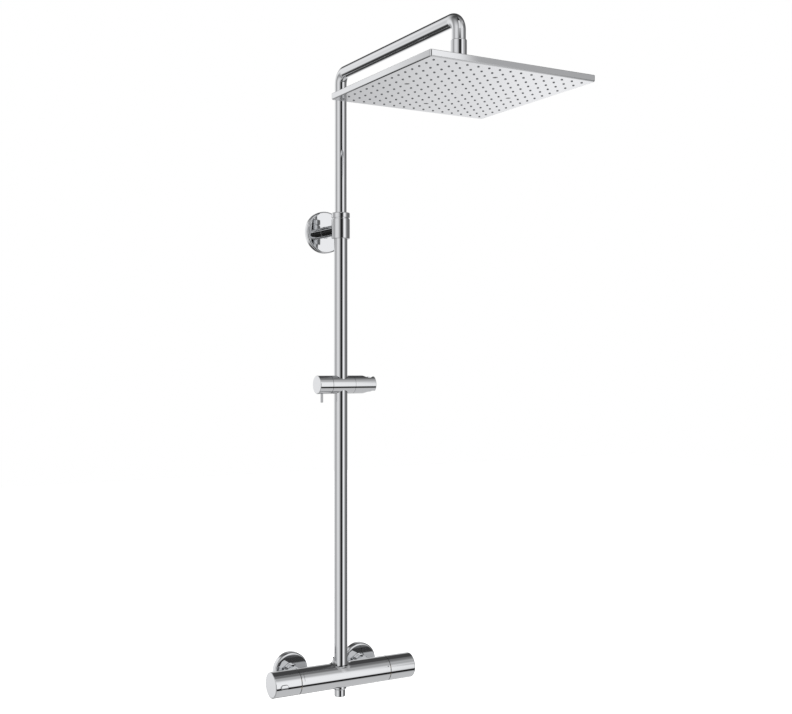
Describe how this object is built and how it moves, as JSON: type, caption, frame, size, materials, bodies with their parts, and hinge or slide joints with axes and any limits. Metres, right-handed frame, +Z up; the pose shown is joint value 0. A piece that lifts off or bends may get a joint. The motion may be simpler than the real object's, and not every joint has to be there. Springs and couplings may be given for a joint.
{
  "type": "shower column",
  "caption": "Wall-mounted thermostatic shower column with a bar mixer, a telescoping riser, a sliding handset holder and a square rainfall head on a ball joint.",
  "frame": {"origin": "on the finished wall, midway between the axes of the two wall inlets", "axes": "+X to the right for someone facing the wall, along the mixer bar; +Y into the wall, along the inlets; +Z up"},
  "size_m": [0.3045, 0.6455, 1.1907],
  "materials": {
    "chrome": "polished chrome plating",
    "brass": "machined",
    "steel": "zinc-plated or stainless",
    "rubber": "moulded EPDM",
    "plastic": "natural acetal",
    "silicone": "translucent grey silicone"
  },
  "bodies": {
    "wall_set": {"s_union_left": "chrome", "s_union_right": "chrome", "inlet_rosette_left": "chrome", "inlet_rosette_right": "chrome", "union_nut_left": "chrome", "union_nut_right": "chrome", "filter_washer_left": "rubber", "filter_washer_right": "rubber", "check_valve_left": "plastic", "check_valve_right": "plastic", "mixer_body": "chrome", "cartridge_seals": "rubber", "thermostat_cartridge": "brass", "thermostat_lock_nut": "brass", "diverter_cartridge": "brass", "diverter_lock_nut": "brass", "hose_nipple": "chrome", "nipple_seal": "rubber", "lower_tube": "chrome", "column_seals": "rubber", "bracket_wall_plate": "steel", "bracket_screws": "steel", "bracket_rosette": "chrome", "bracket_spigot": "chrome", "spigot_grub_screw": "steel", "spigot_bolt": "steel", "bracket_sleeve": "chrome", "riser_collet": "plastic"},
    "temperature_control": {"temperature_handle": "chrome", "temperature_grub_screw": "steel", "thermostat_spindle": "brass", "button_spring": "steel"},
    "release_button": {"safety_button": "chrome"},
    "flow_control": {"diverter_handle": "chrome", "diverter_grub_screw": "steel", "diverter_spindle": "brass"},
    "lock_ring": {"height_lock_ring": "chrome"},
    "riser_piston": {"riser_guide": "plastic", "riser_seals": "rubber"},
    "riser": {"riser_arm": "chrome", "arm_connector": "brass", "connector_washer": "rubber", "ball_stem": "chrome"},
    "head_pitch": {"lower_ball_seat": "plastic"},
    "head_roll": {"upper_ball_seat": "plastic"},
    "head": {"head_shell": "chrome", "ball_nut": "chrome", "nozzle_mat": "silicone", "spray_plate": "chrome", "head_screws": "steel", "centre_cap": "chrome"},
    "holder_slider": {"holder_bush": "plastic"},
    "holder": {"holder_body": "chrome", "cradle_screw": "steel", "cradle_washer": "steel"},
    "clamp": {"clamp_knob": "chrome", "clamp_screw": "steel", "lever_pin": "chrome"},
    "brake": {"clamp_pad": "plastic"},
    "cradle": {"handset_cradle": "chrome"}
  },
  "joints": [
    {"name": "temperature_turn", "type": "hinge", "parent": "wall_set", "child": "temperature_control", "pos_m": [-0.118, -0.0715, -0.005], "axis": [1, 0, 0], "range_deg": [-170, 90]},
    {"name": "button_press", "type": "slide", "parent": "temperature_control", "child": "release_button", "axis": [0, 1, 0], "range_m": [0, 0.002], "stiffness_N_per_m": 800, "springref_m": -0.001},
    {"name": "flow_turn", "type": "hinge", "parent": "wall_set", "child": "flow_control", "pos_m": [0.127, -0.0715, -0.005], "axis": [1, 0, 0], "range_deg": [-90, 90]},
    {"name": "height_lock", "type": "hinge", "parent": "wall_set", "child": "lock_ring", "pos_m": [0, -0.0715, 0.867], "axis": [0, 0, 1], "range_deg": [0, 90]},
    {"name": "height_slide", "type": "slide", "parent": "wall_set", "child": "riser_piston", "axis": [0, 0, 1], "range_m": [-0.2, 0.1]},
    {"name": "arm_swivel", "type": "hinge", "parent": "riser_piston", "child": "riser", "pos_m": [0, -0.0715, 0.645], "axis": [0, 0, 1], "range_deg": [-70, 70]},
    {"name": "head_tilt_front", "type": "hinge", "parent": "riser", "child": "head_pitch", "pos_m": [0, -0.4675, 1.044], "axis": [1, 0, 0], "range_deg": [-12, 12]},
    {"name": "head_tilt_side", "type": "hinge", "parent": "head_pitch", "child": "head_roll", "pos_m": [0, -0.4675, 1.044], "axis": [0, 1, 0], "range_deg": [-12, 12]},
    {"name": "head_spin", "type": "hinge", "parent": "head_roll", "child": "head", "pos_m": [0, -0.4675, 1.044], "axis": [0, 0, 1], "continuous": true},
    {"name": "holder_slide", "type": "slide", "parent": "wall_set", "child": "holder_slider", "axis": [0, 0, 1], "range_m": [-0.48, 0.23]},
    {"name": "holder_swivel", "type": "hinge", "parent": "holder_slider", "child": "holder", "pos_m": [0, -0.0715, 0.5465], "axis": [0, 0, 1], "range_deg": [-90, 90]},
    {"name": "clamp_turn", "type": "hinge", "parent": "holder", "child": "clamp", "pos_m": [-0.037, -0.0715, 0.5465], "axis": [1, 0, 0], "range_deg": [-180, 0]},
    {"name": "brake_release", "type": "slide", "parent": "holder", "child": "brake", "axis": [1, 0, 0], "range_m": [-0.00063, 0]},
    {"name": "cradle_tilt", "type": "hinge", "parent": "holder", "child": "cradle", "pos_m": [0.046, -0.0715, 0.5465], "axis": [1, 0, 0], "range_deg": [-30, 60]}
  ],
  "couplings": [
    {"joint": "brake_release", "follows": "clamp_turn", "m_per_rad": 0.000199}
  ]
}
